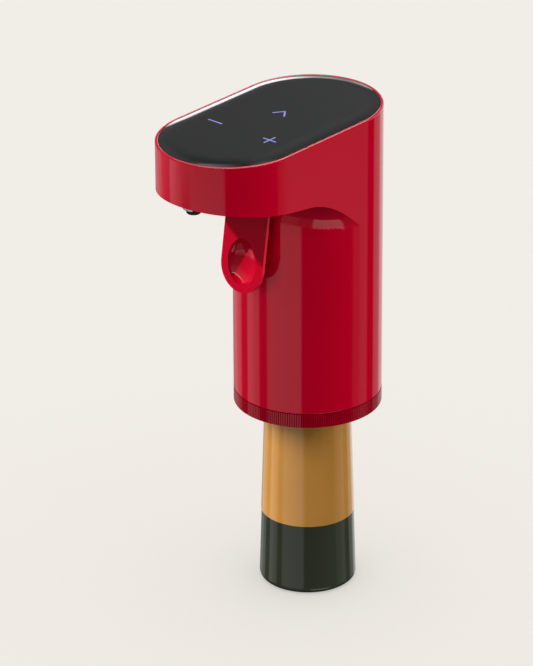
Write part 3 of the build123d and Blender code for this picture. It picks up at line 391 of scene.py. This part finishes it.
def solder_mask(name):
    """Circuit board: green mask with paler copper tracks under it, 1.2 mm apart."""
    made, tree = new_material(name)
    place = add_node(tree, "ShaderNodeTexCoord").outputs["Object"]
    tracks = add_node(tree, "ShaderNodeTexBrick", {
        "Vector": place, "Color1": opaque(linear("0e4a27")), "Color2": opaque(linear("125a30")),
        "Mortar": opaque(linear("2f8a52")), "Scale": per_metre(6), "Mortar Size": 0.035,
        "Brick Width": 1.1, "Row Height": 0.2,
    })
    grain = add_node(tree, "ShaderNodeTexNoise", {
        "Vector": place, "Scale": per_metre(0.6), "Detail": 2.0,
    })
    gloss = add_node(tree, "ShaderNodeMapRange", {
        "Value": grain.outputs["Fac"], "From Min": NOISE_LOW, "From Max": NOISE_HIGH,
        "To Min": 0.3, "To Max": 0.42,
    })
    bump = add_node(tree, "ShaderNodeBump", {
        "Height": tracks.outputs["Fac"], "Distance": 0.02 * MM, "Strength": 1.0,
    })
    shader = add_node(tree, "ShaderNodeBsdfPrincipled", {
        "Base Color": tracks.outputs["Color"], "Roughness": gloss.outputs["Result"],
        "Normal": bump.outputs["Normal"],
    })
    add_node(tree, "ShaderNodeOutputMaterial", {"Surface": shader.outputs["BSDF"]})
    return made


# ---------------------------------------------------------------- pieces
class DISPENSER_OT_shell(Operator):
    """Lacquers the housing and the lever"""
    bl_idname = "dispenser.shell"
    bl_label = "Shell and lever"

    def execute(self, context):
        finish = context.scene.dispenser_finish
        red = lacquered_abs("red_lacquered_abs", finish.shell_red, finish.lacquer_roughness)
        dress(red, "housing", "lever")
        return {"FINISHED"}


class DISPENSER_OT_touch_panel(Operator):
    """Finishes the glass panel and what lies under it"""
    bl_idname = "dispenser.touch_panel"
    bl_label = "Touch panel"

    def execute(self, context):
        finish = context.scene.dispenser_finish
        dress(printed_glass("black_printed_glass", finish.panel_black), "touch_glass")
        foam = moulded_plastic("closed_cell_foam", "08080a", 0.85, grain_mm=0.6)
        dress(foam, "glass_gasket", "light_mask")
        dress(solder_mask("green_solder_mask"), "touch_board", "control_board", "charge_board")
        dress(moulded_plastic("milky_led_lens", "dfe2ea", 0.3), "touch_leds")
        return {"FINISHED"}


class DISPENSER_OT_key_signs(Operator):
    """Draws the lit minus, plus and arrow on the touch panel"""
    bl_idname = "dispenser.key_signs"
    bl_label = "Key signs"

    def execute(self, context):
        signs = context.scene.dispenser_signs
        lit = lit_film("lit_film", signs.colour, signs.glow)
        panel = bmesh.new()
        panel.from_mesh(nodes["touch_glass"].data)
        panel_top = BVHTree.FromBMesh(panel)
        panel.free()
        # each stroke as its middle, its length and its turn from +X
        side, row, reach = signs.side_spacing, -signs.side_row, signs.arrow_length / 2
        slant = radians(ARROW_SLANT)
        strokes = {
            "minus_sign": [(-side, row, signs.minus_length, 0.0)],
            "plus_sign": [(side, row, signs.plus_length, 0.0), (side, row, signs.plus_length, pi / 2)],
            "arrow_sign": [
                (-reach * cos(slant), -signs.arrow_row, signs.arrow_length, slant),
                (reach * cos(slant), -signs.arrow_row, signs.arrow_length, -slant),
            ],
        }
        for name, parts in strokes.items():
            sign = bmesh.new()
            for x, y, length, turn in parts:
                bar = bmesh.ops.create_grid(sign, x_segments=1, y_segments=1, size=0.5)["verts"]
                bmesh.ops.scale(sign, verts=bar, vec=(length, signs.stroke, 1))
                bmesh.ops.rotate(sign, verts=bar, matrix=Matrix.Rotation(turn, 3, "Z"))
                bmesh.ops.translate(sign, verts=bar, vec=(x, y, 0))
            for vertex in sign.verts:
                above = Vector((vertex.co.x, vertex.co.y, WELL_ABOVE))
                on_glass = panel_top.ray_cast(above, Vector((0, 0, -1)))[0]
                if on_glass is None:
                    raise RuntimeError(f"{name} reaches past the glass panel")
                vertex.co.z = on_glass.z + signs.thickness
            add_piece(name, sign, lit, "head")
        return {"FINISHED"}


class DISPENSER_OT_spout(Operator):
    """Finishes the steel spout and its soft tip"""
    bl_idname = "dispenser.spout"
    bl_label = "Spout"

    def execute(self, context):
        steel = worked_metal("polished_stainless_steel", "d6d8dc", 0.08, (1.0, 1.0, 6.0))
        dress(steel, "spout_nozzle", "charge_port")
        dress(rubber("black_silicone", "0b0b0c"), "spout_tip")
        return {"FINISHED"}


class DISPENSER_OT_ring(Operator):
    """Finishes the ribbed ring"""
    bl_idname = "dispenser.ring"
    bl_label = "Twist ring"

    def execute(self, context):
        finish = context.scene.dispenser_finish
        dress(lacquered_abs("red_ribbed_abs", finish.ring_red, 0.08), "twist_ring")
        return {"FINISHED"}


class DISPENSER_OT_neck(Operator):
    """Finishes the bottle's neck and its foil sleeve"""
    bl_idname = "dispenser.neck"
    bl_label = "Bottle neck"

    def execute(self, context):
        finish = context.scene.dispenser_finish
        dress(gold_foil("gold_lacquered_foil", finish.sleeve_gold), "capsule")
        dress(bottle_glass("dark_green_bottle_glass", finish.bottle_green), "neck")
        return {"FINISHED"}


class DISPENSER_OT_inner_works(Operator):
    """Finishes everything inside the housing"""
    bl_idname = "dispenser.inner_works"
    bl_label = "Inner works"

    def execute(self, context):
        nylon = moulded_plastic("black_moulded_nylon", "17181a", 0.5)
        dress(nylon, "board_connector", "chassis", "micro_switch", "core_nut", "collar")
        zinc = worked_metal("zinc_plated_steel", "b4b7bb", 0.24, EVEN)
        dress(zinc, "chassis_screws", "board_screws", "motor_screws", "collar_screws",
              "pump_rotor", "lever_pin", "lever_spring")
        dress(shrink_wrap("blue_cell_wrap"), "battery_cell")
        dress(worked_metal("rolled_nickel_strip", "b9b3a4", 0.3, (8.0, 1.0, 1.0)), "battery_tabs")
        dress(worked_metal("drawn_steel_can", "c3c5c8", 0.2, (1.0, 1.0, 0.06)), "pump_motor")
        dress(moulded_plastic("natural_nylon", "d9d8cf", 0.42),
              "pump_body", "pump_cover", "check_valve", "stopper_core")
        dress(rubber("clear_silicone_tube", "d5d6d2", translucent=0.5),
              "air_tube", "wine_tube", "dip_tube")
        dress(rubber("black_moulded_silicone", "121214"),
              "pump_diaphragm", "stopper", "grip_sleeve", "switch_plunger")
        return {"FINISHED"}


# ---------------------------------------------------------------- stage
# Two rows of soft boxes round the horizon, which only shiny surfaces see: degrees from the
# camera's side towards its right, and the light from there on. Dark gaps part the boxes.
LOWER_BOXES = (
    (-180, 0.35), (-150, 0.5), (-142, 0.36), (-125, 0.03), (-107, 0.6), (-93, 0.48), (-81, 0.02),
    (-66, 0.48), (-60, 0.57), (-32, 0.54), (-10, 0.0), (73, 0.15), (86, 0.25), (104, 0.0),
    (121, 0.36), (142, 0.85),
)
UPPER_BOXES = (
    (-180, 0.4), (-132, 0.24), (-107, 0.8), (-94, 0.58), (-86, 0.42), (-60, 0.37), (-12, 0.0),
    (71, 0.12), (80, 0.2), (104, 0.0), (121, 0.36), (142, 0.85),
)
BOX_SOFTNESS = 3.0           # degrees over which one level turns to the next
# a panel well below the horizon, in steps as the boxes are, and the light under it
LOW_PANEL = ((-180, 0.02), (-60, 0.2), (-20, 0.1), (6, 0.95), (58, 0.05))
UNDERSIDE_LEVEL = 0.02
# a wide lamp overhead, weaker on the left and open towards the back; its levels slope
OVERHEAD = ((-180, 0.1), (-162, 2.6), (-125, 1.2), (-85, 1.2), (-60, 5.0), (150, 5.0), (180, 0.1))
# the rest of the sky by height, in degrees, on the camera's side and behind the object
SKY_AHEAD = ((-18, 0.06), (10, 0.06), (30, 0.4), (90, 0.4))
SKY_BEHIND = (
    (-18, 0.8), (4, 0.8), (7, 4.5), (12.5, 4.5), (14, 0.25), (30, 0.25), (40, 0.19),
    (50, 0.12), (60, 0.03),
)
# how much of the sky behind shows in each direction round the horizon
BEHIND = (
    (-180, 0.3), (-178, 1.0), (-172, 1.0), (-166, 0.1), (-95, 0.0), (95, 0.0), (120, 0.8), (168, 0.8),
    (177, 0.15), (180, 0.3),
)
# where each layer of the sky gives way to the next, in degrees above the horizon
LAYER_EDGES = ((-60, -57), (-31, -29.5), (-23.1, -22.3), (-19, -15), (41, 45))
# on each side of the horizon, as a sine, where the ground's matte light turns to the sky's
HORIZON_BLEND = 0.05
# the soft lamps' turns from the camera's side towards its right
LEFT_TURN, FRONT_TURN, RIGHT_TURN = radians(-122), radians(-30), radians(95)
SLEEVE_TURN = radians(-60)
FLOOR_REACH = 6.0            # from the middle of the floor to its sides
FIBRE_SHADE = 0.997          # how light the paper's fibres are beside the rest of it
SENSOR_MM = 36
NEAREST_SEEN, FARTHEST_SEEN = 0.05, 50


def around(degrees):
    """The place of a direction on a ramp that runs once round the horizon."""
    return (degrees + 180) / 360


def risen(degrees):
    """The place of a height above the horizon on a ramp that runs from straight down to up."""
    return (sin(radians(degrees)) + 1) / 2


def steps(levels):
    """Ramp stops that hold each level and turn softly to the next."""
    stops = []
    for index, (start, level) in enumerate(levels):
        before = levels[index - 1][1]
        if index:
            stops.append((around(start - BOX_SOFTNESS / 2), grey(before)))
        stops.append((around(start + BOX_SOFTNESS / 2 if index else start), grey(level)))
    return stops


class DISPENSER_OT_stage(Operator):
    """Adds the floor, the soft studio light and the camera"""
    bl_idname = "dispenser.stage"
    bl_label = "Studio"

    def add_floor(self, studio):
        """A matte paper floor, which the object's own surfaces don't see."""
        paper, tree = new_material("matte_paper")
        place = add_node(tree, "ShaderNodeTexCoord").outputs["Object"]
        fibre = add_node(tree, "ShaderNodeTexNoise", {
            "Vector": place, "Scale": per_metre(0.8), "Detail": 2.0,
        }).outputs["Fac"]
        colour = add_node(tree, "ShaderNodeValToRGB", {"Fac": fibre}, stops=(
            (NOISE_LOW, times(studio.floor_colour, FIBRE_SHADE)), (NOISE_HIGH, studio.floor_colour),
        )).outputs["Color"]
        direct = add_node(tree, "ShaderNodeLightPath").outputs["Is Camera Ray"]
        fill = add_node(tree, "ShaderNodeMath", {
            "Value": direct, "Value_001": studio.floor_fill,
        }, operation="MULTIPLY").outputs["Value"]
        shader = add_node(tree, "ShaderNodeBsdfPrincipled", {
            "Base Color": colour, "Roughness": 0.9, "Specular IOR Level": 0.0,
            "Emission Color": colour, "Emission Strength": fill,
        })
        add_node(tree, "ShaderNodeOutputMaterial", {"Surface": shader.outputs["BSDF"]})
        shape = bmesh.new()
        bmesh.ops.create_grid(shape, x_segments=1, y_segments=1, size=FLOOR_REACH)
        floor = mesh_object("floor", shape, paper)
        floor.visible_glossy = False
        floor.visible_diffuse = False

    def add_sky(self, studio):
        """Studio light from all round: one pattern for matte surfaces and one for shiny ones."""
        sky = bpy.data.worlds.new("studio")
        sky.use_nodes = True
        tree = sky.node_tree
        tree.nodes.clear()
        turn = studio.camera_azimuth
        direction = add_node(tree, "ShaderNodeTexCoord").outputs["Generated"]
        height = add_node(tree, "ShaderNodeSeparateXYZ", {"Vector": direction}).outputs["Z"]
        across, toward = (
            add_node(tree, "ShaderNodeVectorMath", {
                "Vector": direction, "Vector_001": axis,
            }, operation="DOT_PRODUCT").outputs["Value"]
            for axis in ((cos(turn), sin(turn), 0.0), (sin(turn), -cos(turn), 0.0))
        )
        angle = add_node(tree, "ShaderNodeMath", {
            "Value": across, "Value_001": toward,
        }, operation="ARCTAN2").outputs["Value"]
        place = add_node(tree, "ShaderNodeMapRange", {
            "Value": angle, "From Min": -pi, "From Max": pi,
        }).outputs["Result"]
        level = add_node(tree, "ShaderNodeMapRange", {
            "Value": height, "From Min": -1.0, "From Max": 1.0,
        }).outputs["Result"]

        # what shiny surfaces see
        ahead, behind = (
            add_node(tree, "ShaderNodeValToRGB", {"Fac": level}, stops=[
                (risen(degrees), grey(light)) for degrees, light in column
            ]).outputs["Color"]
            for column in (SKY_AHEAD, SKY_BEHIND)
        )
        share, overhead = (
            add_node(tree, "ShaderNodeValToRGB", {"Fac": place}, stops=[
                (around(degrees), grey(part)) for degrees, part in row
            ]).outputs["Color"]
            for row in (BEHIND, OVERHEAD)
        )
        open_sky = add_node(tree, "ShaderNodeMix", {
            "Factor_Float": share, "A_Color": ahead, "B_Color": behind,
        }, data_type="RGBA").outputs[MIX_COLOUR]
        low_panel, lower_boxes, upper_boxes = (
            add_node(tree, "ShaderNodeValToRGB", {"Fac": place}, stops=steps(row)).outputs["Color"]
            for row in (LOW_PANEL, LOWER_BOXES, UPPER_BOXES)
        )
        layers = (low_panel, lower_boxes, upper_boxes, open_sky, overhead)
        shiny = opaque(grey(UNDERSIDE_LEVEL))
        for (low, high), layer in zip(LAYER_EDGES, layers):
            rise = add_node(tree, "ShaderNodeMapRange", {
                "Value": height, "From Min": sin(radians(low)), "From Max": sin(radians(high)),
            }, interpolation_type="SMOOTHSTEP").outputs["Result"]
            shiny = add_node(tree, "ShaderNodeMix", {
                "Factor_Float": rise, "A_Color": shiny, "B_Color": layer,
            }, data_type="RGBA").outputs[MIX_COLOUR]

        # what lights matte surfaces from all round
        matte = add_node(tree, "ShaderNodeMapRange", {
            "Value": height, "From Min": -HORIZON_BLEND, "From Max": HORIZON_BLEND,
            "To Min": studio.ground_level, "To Max": studio.sky_level,
        }).outputs["Result"]

        path = add_node(tree, "ShaderNodeLightPath")
        lit = add_node(tree, "ShaderNodeMix", {
            "Factor_Float": path.outputs["Is Glossy Ray"], "A_Color": matte, "B_Color": shiny,
        }, data_type="RGBA").outputs[MIX_COLOUR]
        seen = add_node(tree, "ShaderNodeMix", {
            "Factor_Float": path.outputs["Is Camera Ray"], "A_Color": lit,
            "B_Color": opaque(studio.horizon_colour),
        }, data_type="RGBA").outputs[MIX_COLOUR]
        background = add_node(tree, "ShaderNodeBackground", {"Color": seen, "Strength": 1.0})
        add_node(tree, "ShaderNodeOutputWorld", {"Surface": background.outputs["Background"]})
        bpy.context.scene.world = sky

    def add_lamps(self, studio):
        """Lamps that each light one group of nodes; the paper and the signs take none of them.

        A node is in one group only, because groups that overlap don't light it the same way
        each time."""
        lit = {"lever": ["lever"], "sleeve": ["capsule"]}
        lit["body"] = [name for name in nodes if name not in ("lever", "capsule")]
        receivers = {}
        for group, names in lit.items():
            receivers[group] = bpy.data.collections.new(f"lit_{group}")
            for name in names:
                receivers[group].objects.link(nodes[name])
        low, soft = studio.lamp_height, studio.lamp_softness
        lamps = (
            ("left_lamp", "body", LEFT_TURN, low, soft, studio.left_lamp),
            ("front_lamp", "body", FRONT_TURN, low, soft, studio.front_lamp),
            ("right_lamp", "body", RIGHT_TURN, low, soft, studio.right_lamp),
            ("sleeve_left", "sleeve", LEFT_TURN, low, soft, studio.left_lamp),
            ("sleeve_lamp", "sleeve", SLEEVE_TURN, studio.sleeve_height, studio.sleeve_softness,
             studio.sleeve_lamp),
            ("sleeve_right", "sleeve", RIGHT_TURN, low, soft, studio.right_lamp),
            ("lever_fill", "lever", FRONT_TURN, low, soft, studio.lever_fill),
            ("edge_lamp", "lever", RIGHT_TURN, low, soft, studio.edge_lamp),
            ("key_lamp", "lever", studio.key_turn, studio.key_height, studio.key_softness,
             studio.key_lamp),
        )
        for name, group, turn, height, size, energy in lamps:
            azimuth = studio.camera_azimuth + turn
            towards = Vector((sin(azimuth) * cos(height), -cos(azimuth) * cos(height), sin(height)))
            data = bpy.data.lights.new(name, "SUN")
            data.energy = energy
            data.angle = size
            lamp = bpy.data.objects.new(name, data)
            lamp.location = towards
            lamp.rotation_mode = "QUATERNION"
            lamp.rotation_quaternion = towards.to_track_quat("Z", "Y")
            lamp.visible_glossy = False
            bpy.context.scene.collection.objects.link(lamp)
            lamp.light_linking.receiver_collection = receivers[group]

    def add_camera(self, studio):
        """A long lens above the object's front right, looking down at it."""
        azimuth, elevation = studio.camera_azimuth, studio.camera_elevation
        back = Vector((sin(azimuth) * cos(elevation), -cos(azimuth) * cos(elevation), sin(elevation)))
        right = Vector((cos(azimuth), sin(azimuth), 0))
        up = back.cross(right)
        place = Vector(studio.pivot) + back * studio.camera_distance
        aim = Vector(studio.pivot) + right * studio.aim_offset[0] + up * studio.aim_offset[1]
        data = bpy.data.cameras.new("camera")
        data.sensor_width = SENSOR_MM
        data.lens = studio.lens_mm
        data.clip_start = NEAREST_SEEN
        data.clip_end = FARTHEST_SEEN
        camera = bpy.data.objects.new("camera", data)
        camera.rotation_mode = "QUATERNION"
        camera.location = place
        roll = Matrix.Rotation(studio.camera_roll, 3, "Z").to_quaternion()
        camera.rotation_quaternion = (aim - place).to_track_quat("-Z", "Y") @ roll
        bpy.context.scene.collection.objects.link(camera)
        bpy.context.scene.camera = camera

    def execute(self, context):
        studio = context.scene.dispenser_studio
        self.add_floor(studio)
        self.add_sky(studio)
        self.add_lamps(studio)
        self.add_camera(studio)
        context.scene.view_settings.view_transform = "Standard"
        return {"FINISHED"}


PIECE_OPERATORS = (
    DISPENSER_OT_shell,
    DISPENSER_OT_touch_panel,
    DISPENSER_OT_key_signs,
    DISPENSER_OT_spout,
    DISPENSER_OT_ring,
    DISPENSER_OT_neck,
    DISPENSER_OT_inner_works,
    DISPENSER_OT_stage,
)


class DISPENSER_PT_looks(Panel):
    """Lists the dispenser's pieces and their settings"""
    bl_idname = "DISPENSER_PT_looks"
    bl_label = "Wine dispenser"
    bl_space_type = "VIEW_3D"
    bl_region_type = "UI"
    bl_category = "Dispenser"

    def draw(self, context):
        for group in (context.scene.dispenser_finish, context.scene.dispenser_signs,
                      context.scene.dispenser_studio):
            box = self.layout.box()
            for name in group.bl_rna.properties.keys():
                if name not in ("rna_type", "name"):
                    box.prop(group, name)
        for piece in PIECE_OPERATORS:
            self.layout.operator(piece.bl_idname)


CLASSES = (DispenserFinish, KeySigns, Studio, *PIECE_OPERATORS, DISPENSER_PT_looks)


def register():
    for made in CLASSES:
        bpy.utils.register_class(made)
    bpy.types.Scene.dispenser_finish = PointerProperty(type=DispenserFinish)
    bpy.types.Scene.dispenser_signs = PointerProperty(type=KeySigns)
    bpy.types.Scene.dispenser_studio = PointerProperty(type=Studio)


def unregister():
    del bpy.types.Scene.dispenser_studio
    del bpy.types.Scene.dispenser_signs
    del bpy.types.Scene.dispenser_finish
    for made in reversed(CLASSES):
        bpy.utils.unregister_class(made)


def main():
    """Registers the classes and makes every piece."""
    register()
    bpy.ops.dispenser.shell()
    bpy.ops.dispenser.touch_panel()
    bpy.ops.dispenser.key_signs()
    bpy.ops.dispenser.spout()
    bpy.ops.dispenser.ring()
    bpy.ops.dispenser.neck()
    bpy.ops.dispenser.inner_works()
    bpy.ops.dispenser.stage()


if __name__ == "__main__":
    main()
